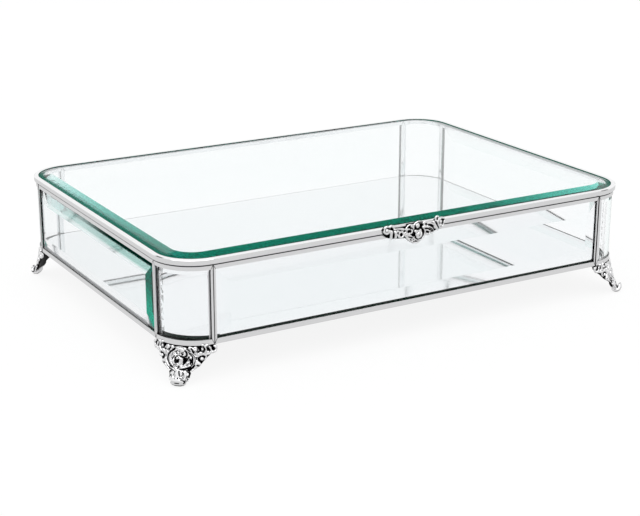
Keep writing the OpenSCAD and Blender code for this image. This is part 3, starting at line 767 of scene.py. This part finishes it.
def toe(relief):
    """The toe: a broad tongue that runs down from the neck, touches the table and turns up."""
    path = [(foot_wall_r(d) + TOE_PROUD, FOOT_H - d) for d in TOE_FROM]
    path += curl(TOE_EYE, TOE_BEND_R, TOE_BEND_R, *TOE_TURN, TOE_BEND_STEPS)

    def ring_at(i, half_w, half_t, lift=0.0, offset=0.0):
        cup = TOE_CUP * max(0.0, min(1.0, (i - 3) / 4))
        way, ring = direction(path, i), []
        for k in range(TOE_SIDES):
            q = 2 * math.pi * k / TOE_SIDES
            across = offset + half_w * math.copysign(abs(math.cos(q)) ** TOE_SQUARE, math.cos(q))
            high = half_t * math.sin(q) + lift + cup * (across / TOE_WIDEST) ** 2
            r, z = path[i][0] - way[1] * high, path[i][1] + way[0] * high
            down = FOOT_H - z
            ring.append((across * CORNER_R / r, down, r - foot_wall_r(down)))
        return ring

    relief.rings([ring_at(i, half_w, TOE_HALF_T) for i, half_w in enumerate(TOE_WIDTHS)])
    for at, share in TOE_RIBS:
        relief.rings([ring_at(i, share * half_w / TOE_WIDEST, RIB_HALF_T, RIB_LIFT, at * half_w)
                      for i, half_w in enumerate(TOE_WIDTHS) if i > 1])


def draw_foot():
    """A rose in an oval ring, between scrolls and leaves that end in beads, over a ribbed neck."""
    relief = Relief()
    left = tuple((-along, down) for along, down in reversed(FOOT_OUTLINE))
    relief.plate(FOOT_OUTLINE + left, *FOOT_PLATE)
    toe(relief)
    # the ring, and in it the rose: outer petals to the left, two curls and the heart above, leaves below
    relief.strand(oval((-0.4, 6.3), 7.5, 5.3), 0.62, out=1.1)
    relief.strand(oval((-0.2, 6.3), 5.3, 4.2, 105, 265), 0.5, out=1.1, swell=0.25)
    relief.strand(oval((0.1, 6.2), 3.9, 3.2, 110, 250), 0.5, out=1.25, swell=0.2)
    relief.strand(oval((-0.4, 6.3), 5.2, 4.0, -95, 80), 0.5, out=1.0, swell=0.2)
    relief.strand(curl((-1.6, 3.5), 1.0, 0.8, 0, 360), 0.45, out=1.4)
    relief.strand(curl((1.2, 3.4), 1.5, 1.3, 120, 420), 0.5, 0.45, 1.5)
    relief.bead(1.2, 3.1, 0.7, 1.3)
    relief.bead(-1.5, 6.1, 0.8, 1.5)
    relief.strand(bow((-2.9, 4.8), (1.4, 5.9), (3.0, 4.9)), 0.8, 0.5, 1.5, 1.3)
    relief.strand(bow((-3.6, 7.4), (-3.2, 9.2), (-0.8, 9.9)), 0.9, 0.7, 1.3, 1.1)
    relief.strand(bow((0.4, 6.0), (0.8, 7.8), (-0.4, 9.6)), 0.95, 0.7, 1.4, 1.2)
    relief.strand(bow((1.7, 9.0), (3.6, 7.2), (3.7, 5.2)), 0.55, 0.4, 1.1)
    relief.strand(bow((0.9, 10.3), (3.4, 10.4), (4.7, 8.0)), 0.75, 0.5, 1.25)
    relief.strand(bow((4.2, 8.6), (4.4, 6.2), (5.6, 5.6)), 0.5, 0.45, 1.3)
    relief.gap(0.4, (-3.3, 1.9), (-5.4, 3.4), (-6.7, 5.4), (-6.8, 7.8), (-5.4, 9.9), (-3.6, 11.0))
    relief.gap(0.3, (-4.7, 2.3), (-2.7, 1.2))
    relief.gap(0.22, (-0.8, 0.9), (1.4, 0.9))
    relief.gap(0.35, (3.3, 1.3), (4.9, 2.5))
    relief.gap(0.14, (-5.4, 4.4), (-5.8, 6.0), (-5.4, 8.2))
    relief.gap(0.16, (4.2, 3.0), (6.0, 3.9), (7.2, 5.4), (7.4, 7.4), (6.6, 9.4))
    relief.gap(0.16, (-3.0, 3.2), (-1.6, 2.4), (-0.6, 2.9))
    relief.gap(0.18, (-1.9, 4.9), (-0.6, 4.7), (0.4, 5.4))
    relief.gap(0.16, (-4.0, 8.3), (-3.0, 9.8), (-1.4, 10.3))
    relief.gap(0.3, (6.1, 5.2), (6.2, 6.6), (6.0, 9.0), (5.0, 10.4))
    relief.gap(0.52, (4.9, 10.4), (3.4, 11.2), (1.9, 11.5))
    relief.gap(0.34, (1.3, 11.7), (0.2, 11.5))
    relief.gap(0.34, (-0.9, 11.3), (-0.4, 10.1))
    relief.gap(0.26, (-2.6, 11.3), (-5.0, 10.8))
    relief.gap(0.42, (2.4, 2.3), (3.4, 3.6), (3.1, 5.0), (1.7, 5.6), (0.6, 5.0))
    relief.gap(0.36, (4.4, 5.4), (3.1, 7.4), (1.6, 9.2))
    relief.gap(0.62, (3.0, 7.2), (2.0, 8.4))
    relief.gap(0.16, (3.4, 6.0), (2.4, 7.0))
    relief.gap(0.4, (4.9, 6.6), (5.3, 7.8), (5.1, 8.8))
    relief.gap(0.28, (-3.0, 4.9), (-3.7, 6.2), (-4.2, 7.0))
    relief.gap(0.46, (-2.6, 7.3), (-2.0, 8.7))
    relief.gap(0.16, (-0.9, 7.2), (-0.9, 8.6))
    relief.gap(0.14, (-2.2, 6.9), (-2.3, 5.8), (-1.5, 5.2), (-0.7, 5.7))
    relief.gap(0.2, (0.8, 3.3), (1.6, 3.2))
    relief.gap(0.16, (-2.0, 3.0), (-2.1, 3.9), (-1.4, 4.2))
    relief.gap(0.16, (-0.3, 2.2), (-0.3, 4.3))
    relief.gap(0.13, (-4.0, 3.6), (-4.6, 5.4), (-4.4, 7.4), (-3.4, 9.0))
    relief.gap(0.12, (-2.9, 9.6), (-1.4, 9.4))
    relief.gap(0.12, (-3.4, 10.3), (-1.6, 10.6))
    relief.gap(0.13, (1.4, 10.0), (3.4, 9.6), (4.2, 8.6))
    relief.gap(0.12, (4.1, 7.6), (4.5, 6.2))
    relief.gap(0.14, (-7.9, 3.6), (-8.4, 5.2))
    relief.gap(0.14, (-1.2, 6.8), (-0.2, 6.7))
    for side in (-1, 1):
        def turned(points):
            return [(side * p[0], p[1]) for p in points]

        def gap(half_w, *path):
            relief.gap(half_w, *turned(path))
        # a beaded eye and the open scroll at the top, then the scroll at the end
        relief.strand(turned(bow((4.6, 0.8), (6.4, 1.0), (8.4, 3.4))), 0.7, 0.8, 1.0)
        relief.strand(turned(curl((7.6, 1.5), 1.1, 0.9, 0, 360)), 0.42, out=1.1)
        relief.bead(side * 7.6, 1.5, 0.55, 1.4)
        relief.strand(turned(curl((10.9, 1.7), 2.2, 1.8, -80, 150)), 0.75, 0.65, 1.1)
        relief.bead(side * 11.0, 1.5, 0.8, 1.3)
        relief.strand(turned(curl((13.6, 1.6), 1.9, 1.7, -90, 120)), 0.62, 0.5, 1.0)
        relief.strand(turned(curl((17.2, 2.0), 1.8, 1.4, 170, -70)), 0.6, 0.5, 1.0)
        relief.bead(side * 18.5, 1.2, 0.9, 1.1)
        relief.bead(side * 16.6, 3.5, 1.0, 1.1)
        # leaves that follow the edge down to the neck
        relief.strand(turned(bow((8.4, 4.0), (12.0, 4.4), (15.4, 4.1))), 0.7, 0.55, 1.0)
        relief.strand(turned(bow((7.6, 5.2), (8.6, 5.0), (9.6, 4.8))), 0.6, 0.5, 1.0)
        relief.bead(side * 10.7, 6.3, 1.0, 1.2)
        relief.strand(turned(bow((12.6, 5.0), (13.2, 5.8), (12.2, 7.0))), 0.5, 0.4, 0.9)
        relief.bead(side * 9.3, 8.4, 0.9, 1.1)
        relief.strand(turned(bow((7.9, 6.6), (8.6, 8.6), (7.2, 10.6))), 0.7, 0.6, 1.0)
        relief.strand(turned(bow((9.6, 9.4), (7.4, 10.6), (5.6, 12.2))), 0.55, 0.45, 0.9)
        gap(0.42, (5.6, 1.1), (6.3, 2.3), (6.7, 3.1))
        gap(0.2, (8.7, 0.5), (8.9, 1.9), (7.9, 2.9), (6.6, 2.4))
        gap(0.48, (10.1, 1.2), (10.2, 2.2), (8.9, 2.9))
        gap(0.3, (11.7, 0.3), (12.5, 1.9), (11.3, 3.4))
        gap(0.2, (13.3, 0.5), (13.7, 2.3))
        gap(0.28, (10.0, 0.1), (11.4, -0.2))
        gap(0.3, (14.1, 0.1), (16.2, 0.5))
        gap(0.5, (16.7, 2.3))
        gap(0.34, (17.5, 4.4), (15.5, 4.7), (13.5, 5.9))
        gap(0.5, (15.0, 2.8), (14.5, 1.8))
        gap(0.32, (8.9, 6.7), (9.8, 5.3), (11.3, 4.9), (12.3, 5.7))
        gap(0.3, (9.5, 7.6), (10.4, 8.1), (11.6, 7.3))
        gap(0.24, (7.9, 5.6), (8.1, 6.7))
        gap(0.34, (8.2, 9.5), (9.2, 9.9))
        gap(0.16, (7.3, 9.6), (6.3, 10.7), (5.2, 11.6))
        gap(0.4, (19.8, 3.0))
        # the neck and its side volutes
        relief.strand(turned(curl((4.2, 13.6), 0.7, 0.6, 0, 360)), 0.42, out=1.0)
        relief.strand(turned(bow((2.5, 12.6), (2.8, 14.4), (2.3, 16.2))), 0.8, 0.75, 1.1)
        relief.strand(turned(bow((4.6, 14.4), (4.3, 15.8), (3.9, 17.0))), 0.42, out=0.9)
        gap(0.5, (4.7, 13.0), (4.9, 13.9), (4.5, 15.3))
        gap(0.3, (3.9, 13.0), (5.6, 12.6))
        gap(0.12, (2.1, 13.2), (2.4, 15.2))
    relief.strand([(-0.9, 12.6), (-0.9, 13.8), (-0.8, 15.4)], 0.8, 0.8, 1.1)
    relief.strand([(0.9, 12.7), (1.0, 13.8), (0.9, 15.4)], 0.8, 0.8, 1.1)
    relief.gap(0.3, (-0.1, 12.8), (0.4, 14.8))
    relief.gap(0.16, (1.6, 13.0), (1.9, 13.9), (1.2, 14.9))
    relief.gap(0.16, (-3.5, 12.6), (-2.6, 12.4), (-1.9, 13.0))
    relief.gap(0.3, (1.9, 15.6))
    relief.gap(0.3, (-0.5, 17.2), (0.9, 17.2))
    relief.gap(0.34, (4.0, 16.2), (2.8, 17.4))
    return relief


def make_feet():
    mesh = draw_foot().cast("cast_foot", lay_foot, ground_ends=NECK_END)
    mesh.materials.append(MATERIALS["cast_silver"])
    for name, sx, sy, turn in (("front_left", -1, -1, 225), ("front_right", 1, -1, 315),
                               ("back_left", -1, 1, 135), ("back_right", 1, 1, 45)):
        own = mesh.copy()
        own.transform(Matrix.Translation((sx * CORNER_AXIS[0], sy * CORNER_AXIS[1], 0))
                      @ Matrix.Rotation(math.radians(turn), 4, "Z"))
        foot = bpy.data.objects.new("scroll_foot_" + name, own)
        scene.collection.objects.link(foot)
        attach(foot, "case")
        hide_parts("foot_" + name)


# ---- clasp ----

CLASP_X = -5.9
CLASP_SEAM = in_mm(SEAM_Z)
CLASP_FACE_Y = in_mm(rim_low.y)
CLASP_PLATE = (0.0, 0.4)
# Its corner round (-17.4, 1.6) takes in a black patch below the left scroll: painted shadow of the clasp on
# the seam.
CLASP_OUTLINE = (
    (-20.3, -3.4), (-18.6, -5.2), (-15.2, -5.0), (-6.0, -4.4), (0.0, -4.4), (4.0, -5.0), (7.4, -3.8),
    (12.8, -3.6), (15.6, -5.6), (19.6, -4.8), (20.8, -2.8), (19.6, -0.4), (17.4, 1.6), (13.8, 2.6),
    (12.2, 3.2), (9.4, 3.8), (7.6, 2.8), (6.6, 4.8), (4.6, 6.2), (0.9, 7.0), (-1.6, 5.8), (-4.6, 3.8),
    (-9.2, 3.4), (-14.2, 2.8), (-17.4, 1.6), (-19.4, -0.6))


def lay_clasp(along, down, out):
    """Stands a drawn point on the front of the lid's rim."""
    return CLASP_X + along, CLASP_FACE_Y - out, CLASP_SEAM - down


def draw_clasp():
    """A rose over the seam, its leaves, and a stem on each side that ends in a scroll."""
    relief = Relief()
    relief.plate(CLASP_OUTLINE, *CLASP_PLATE)
    gap = relief.gap
    # the rose, from its outer petals to its heart
    relief.strand(bow((-6.4, 0.6), (-4.8, 4.0), (-0.6, 6.4)), 0.55, 0.5, 1.0, swell=0.15)
    relief.strand(bow((-5.6, 0.4), (-3.6, 2.8), (-1.0, 5.0)), 0.6, 0.5, 1.1)
    relief.strand(oval((3.2, 1.7), 4.0, 4.0, -50, 160), 0.5, 0.45, 1.2, swell=0.1)
    relief.strand(oval((3.2, -1.6), 3.7, 3.0, 170, 365), 0.5, 0.45, 1.3, swell=0.1)
    relief.strand(curl((-3.6, -0.2), 1.5, 1.2, 60, 330), 0.5, 0.42, 1.3)
    relief.strand(bow((-5.4, -1.6), (-3.4, -4.4), (-0.8, -3.4)), 0.55, 0.45, 1.2)
    relief.strand(bow((-1.9, -3.2), (-0.6, -1.0), (-1.7, 1.0)), 0.55, 0.45, 1.5)
    relief.strand(bow((-3.4, 1.8), (-1.8, 2.6), (0.2, 3.8)), 0.5, 0.45, 1.4)
    relief.strand(bow((0.9, 0.2), (2.6, 0.6), (4.2, -0.2)), 0.7, 0.5, 1.5)
    relief.leaf((1.9, -1.4), (1.9, -2.8), (3.4, -3.4), 1.9, 1.5)
    relief.leaf((2.4, 4.4), (3.0, 2.4), (4.6, 0.6), 3.0, 1.7)
    relief.strand(bow((0.3, 0.2), (1.8, 0.8), (1.2, 2.4)), 0.5, 0.45, 1.7)
    gap(0.5, (-3.4, -0.2), (-2.7, -0.5))
    gap(0.26, (-1.7, -1.9), (-0.7, -0.8))
    gap(0.55, (-0.4, 0.9), (-1.2, 1.8))
    gap(0.3, (-1.5, 2.2), (-0.2, 3.2))
    gap(0.34, (0.3, -3.0), (1.3, -1.2))
    gap(0.24, (0.7, -3.8), (2.4, -4.5), (5.4, -4.3))
    gap(0.3, (5.6, -4.1), (4.9, -3.1))
    gap(0.55, (4.9, -2.3), (4.5, -0.9), (2.9, -0.6))
    gap(0.4, (6.1, 0.3), (6.5, 2.2), (5.8, 3.9), (4.4, 5.2))
    gap(0.24, (4.0, 5.3), (2.2, 5.2), (0.4, 3.8))
    gap(0.13, (4.0, 1.2), (2.8, 3.6))
    gap(0.2, (-3.6, 2.9), (-1.2, 4.1))
    gap(0.5, (-6.2, -2.4))
    gap(0.22, (-5.6, -3.6), (-4.6, -4.2))
    gap(0.45, (-4.0, -2.5), (-2.9, -3.1))
    gap(0.2, (-5.0, -0.6), (-5.2, 0.8))
    # the tail that hangs over the glass
    relief.leaf((-1.2, 5.0), (0.0, 6.6), (1.2, 7.2), 1.6, 0.9)
    relief.strand(bow((1.6, 7.1), (3.4, 7.2), (4.6, 5.9)), 0.5, 0.4, 0.9)
    gap(0.24, (0.0, 6.1), (0.6, 6.6))
    gap(0.2, (-2.4, 4.7), (-1.4, 5.4))
    # the left stem: leaf tips, a small open scroll, two lobes and the end scroll
    relief.strand(bow((-5.6, -4.0), (-9.4, -4.2), (-13.4, -4.0)), 0.62, 0.6, 0.9)
    relief.strand(bow((-7.0, -1.8), (-9.6, -3.2), (-12.6, -2.6)), 0.8, 0.7, 1.0)
    relief.strand(bow((-9.6, -0.8), (-11.0, -1.6), (-12.6, -1.0)), 0.6, 0.5, 0.9)
    relief.strand(curl((-8.2, 1.0), 1.7, 1.5, 0, 340), 0.6, 0.5, 1.1)
    relief.strand(bow((-14.4, -1.6), (-14.8, 0.4), (-14.6, 2.0)), 0.85, 0.7, 1.0)
    relief.strand(bow((-11.8, -0.8), (-11.4, 0.8), (-11.8, 2.2)), 0.8, 0.7, 1.0)
    relief.strand(curl((-17.4, -2.9), 2.0, 1.8, 20, 330), 0.6, 0.5, 1.0)
    relief.bead(-17.3, -2.6, 1.2, 0.9)
    relief.strand(bow((-15.3, -4.6), (-14.4, -5.0), (-13.2, -4.4)), 0.6, 0.5, 1.0)
    relief.strand(bow((-17.6, -0.6), (-16.4, -1.2), (-15.2, -1.4)), 0.6, 0.5, 0.9)
    gap(0.3, (-19.5, -3.8), (-19.8, -2.6))
    gap(0.26, (-17.0, -4.0), (-15.8, -3.6))
    # these two gaps blacken that patch of painted shadow below the left scroll
    gap(0.3, (-19.0, 0.0), (-16.2, 0.0))
    gap(0.5, (-18.0, 0.4), (-16.8, 0.9))
    gap(0.5, (-14.1, -2.9), (-13.5, -2.2))
    gap(0.34, (-11.1, -2.0))
    gap(0.3, (-13.1, -0.9), (-13.1, 2.2))
    gap(0.6, (-8.5, 0.6), (-8.3, 1.3))
    gap(0.22, (-9.9, -0.6), (-10.0, 0.8))
    gap(0.16, (-12.6, -3.4), (-8.6, -3.2), (-6.8, -2.9))
    gap(0.16, (-15.6, -0.8), (-15.8, 1.4))
    gap(0.18, (-6.4, 2.2), (-5.2, 3.4))
    # the right stem: two leaves with dark veins, a lobe with eyes, and the end scroll
    relief.strand(bow((7.0, -3.6), (9.6, -4.0), (12.6, -3.3)), 0.6, 0.55, 0.9)
    relief.strand(bow((6.8, -1.4), (9.2, -1.6), (12.2, 1.0)), 0.8, 0.6, 1.2)
    relief.strand(bow((9.2, -2.9), (12.4, -2.6), (14.2, 0.6)), 0.6, 0.5, 1.0)
    relief.strand(curl((9.6, 2.2), 1.4, 1.2, 170, -20), 0.5, 0.45, 1.0)
    relief.strand(bow((7.3, 0.9), (8.8, 0.4), (9.8, 1.4)), 0.5, 0.45, 1.0)
    relief.strand(curl((12.0, 2.0), 1.1, 0.9, 150, -60), 0.45, 0.4, 0.9)
    relief.strand(bow((12.9, -3.0), (14.6, -0.8), (15.6, 1.6)), 0.75, 0.6, 1.1)
    relief.strand(bow((14.6, -3.4), (16.6, -1.0), (17.4, 1.0)), 0.6, 0.5, 1.0)
    relief.strand(curl((15.4, -4.8), 1.1, 1.0, 150, 390), 0.5, 0.45, 1.0)
    relief.strand(curl((18.0, -2.4), 2.0, 1.8, 250, 75), 0.7, 0.6, 1.1)
    relief.bead(17.6, -2.6, 1.1, 1.0)
    relief.strand(bow((18.0, -4.6), (20.2, -4.8), (20.2, -2.8)), 0.5, 0.45, 0.9)
    relief.strand(bow((20.2, -2.2), (19.6, -0.2), (17.6, 1.2)), 0.48, 0.42, 0.9)
    gap(0.42, (8.0, -2.7), (8.0, -2.0))
    gap(0.3, (9.6, -2.2), (11.4, -1.8), (13.2, -0.4))
    gap(0.28, (10.0, -0.2), (11.8, 0.8), (12.9, 2.4))
    gap(0.34, (8.4, 1.9), (8.4, 2.7))
    gap(0.3, (11.0, 2.2), (11.2, 2.8))
    gap(0.2, (6.9, -0.4), (8.4, 0.2))
    gap(0.5, (14.3, -2.8), (15.3, -1.2))
    gap(0.34, (15.2, -1.2), (16.6, 1.1))
    gap(0.3, (15.0, -5.0), (15.8, -5.0))
    gap(0.36, (19.9, -3.5), (19.9, -3.0))
    gap(0.5, (19.2, -1.2), (18.8, -0.6))
    gap(0.2, (17.0, -3.9), (16.3, -2.6), (17.2, -1.2))
    return relief


def make_clasp():
    mesh = draw_clasp().cast("cast_rose_clasp", lay_clasp, plain_back=True)
    mesh.materials.append(MATERIALS["cast_silver"])
    clasp = bpy.data.objects.new("cast_rose_clasp", mesh)
    scene.collection.objects.link(clasp)
    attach(clasp, "lid")
    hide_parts("rose_clasp")


make_feet()
make_clasp()

# ---- studio ----

WHITE = linear("#ffffff")

# How bright the white surroundings look to each kind of ray. Light that came through glass is lifted
# by what the panes take away, as in a photograph that is exposed for the glass.
SEEN_DIRECT = 1.0
SEEN_THROUGH = 1.07
LIGHT_ON_ALL = 0.6
TABLE_MATT = linear("#616161")
TABLE_GLOW = 0.89
TABLE_IN_METAL = 0.6

# The dark band high round the studio, that shows only where metal or glass mirrors it. Its heights are the
# sines of the angles above level.
DARK = linear("#595959")
DARK_BAND = ((0.52, WHITE), (0.57, DARK), (0.66, DARK), (0.73, WHITE))

FLOOR_HALF = 6.0
SOFTBOX_TURN = (25, 0, -35)
SOFTBOX_WIDTH = 70
SOFTBOX_STRENGTH = 1.3


def kinds_of_ray(tree):
    """1 for what the camera sees straight or through glass, for what is seen through glass, and for what
    metal or glass mirrors."""
    rays = add(tree, "LightPath").outputs
    through = rays["Is Transmission Ray"]
    seen = add(tree, "Math", (rays["Is Camera Ray"], through), operation="MAXIMUM")
    mirrored = add(tree, "Math", (rays["Is Glossy Ray"], through), operation="SUBTRACT", use_clamp=True)
    return seen, through, mirrored


def make_world():
    """A white studio, which lights the box more weakly than it looks."""
    world = bpy.data.worlds.new("studio")
    scene.world = world
    world.use_nodes = True
    tree = world.node_tree
    tree.nodes.clear()
    seen, through, mirrored = kinds_of_ray(tree)
    height = add(tree, "SeparateXYZ", (add(tree, "TexCoord").outputs["Generated"],)).outputs["Z"]
    band = add(tree, "ValToRGB", (height,))
    set_stops(band.color_ramp, DARK_BAND)
    colour = add(tree, "MixRGB", (mirrored, WHITE, band))
    level = add(tree, "MapRange", {"Value": through, "To Min": SEEN_DIRECT, "To Max": SEEN_THROUGH})
    shown = add(tree, "Background", {"Color": colour, "Strength": level})
    lit = add(tree, "Background", {"Color": WHITE, "Strength": LIGHT_ON_ALL})
    looked_at = add(tree, "Math", (seen, mirrored), operation="MAXIMUM")
    add(tree, "OutputWorld", {"Surface": add(tree, "MixShader", (looked_at, lit, shown))})


def white_table(name):
    """White laminate under bright light: most of its white is a glow, and a matt layer takes the shadows."""
    material, tree = new_material(name)
    seen, through, mirrored = kinds_of_ray(tree)
    level = add(tree, "Math", (through, SEEN_THROUGH - 1.0, TABLE_GLOW), operation="MULTIPLY_ADD")
    level = add(tree, "Math", (seen, level), operation="MULTIPLY")
    level = add(tree, "Math", (mirrored, TABLE_IN_METAL, level), operation="MULTIPLY_ADD")
    matt = add(tree, "BsdfDiffuse", {"Color": TABLE_MATT})
    glow = add(tree, "Emission", {"Strength": level})
    add(tree, "OutputMaterial", {"Surface": add(tree, "AddShader", (matt, glow))})
    return material


def make_floor():
    bm = bmesh.new()
    bmesh.ops.create_grid(bm, x_segments=8, y_segments=8, size=FLOOR_HALF)
    mesh = bpy.data.meshes.new("floor")
    bm.to_mesh(mesh)
    bm.free()
    mesh.materials.append(white_table("white_table"))
    floor = bpy.data.objects.new("floor", mesh)
    scene.collection.objects.link(floor)


def make_softbox():
    lamp = bpy.data.lights.new("overhead_softbox", "SUN")
    lamp.energy = SOFTBOX_STRENGTH
    lamp.angle = math.radians(SOFTBOX_WIDTH)
    softbox = bpy.data.objects.new("overhead_softbox", lamp)
    softbox.rotation_euler = [math.radians(turn) for turn in SOFTBOX_TURN]
    scene.collection.objects.link(softbox)


# The camera, in metres and degrees. It was worked out from the photograph's perspective.
CAMERA_AT = (-0.4464, -0.7638, 0.3066)
CAMERA_TURN = 30.23
CAMERA_DOWN = 18.21
CAMERA_ROLL = 0.04
LENS = 84.72


def make_camera():
    data = bpy.data.cameras.new("camera")
    data.lens = LENS
    data.sensor_width = 36.0
    data.clip_start = 0.01
    camera = bpy.data.objects.new("camera", data)
    turn = Matrix.Rotation(math.radians(-CAMERA_TURN), 4, "Z")
    pitch = Matrix.Rotation(math.radians(90 - CAMERA_DOWN), 4, "X")
    roll = Matrix.Rotation(math.radians(CAMERA_ROLL), 4, "Z")
    camera.matrix_world = Matrix.Translation(CAMERA_AT) @ turn @ pitch @ roll
    scene.collection.objects.link(camera)
    scene.camera = camera


make_world()
make_floor()
make_softbox()
make_camera()

scene.view_settings.view_transform = "Standard"
scene.cycles.max_bounces = 256
scene.cycles.transmission_bounces = 256
scene.cycles.glossy_bounces = 64
scene.cycles.transparent_max_bounces = 32
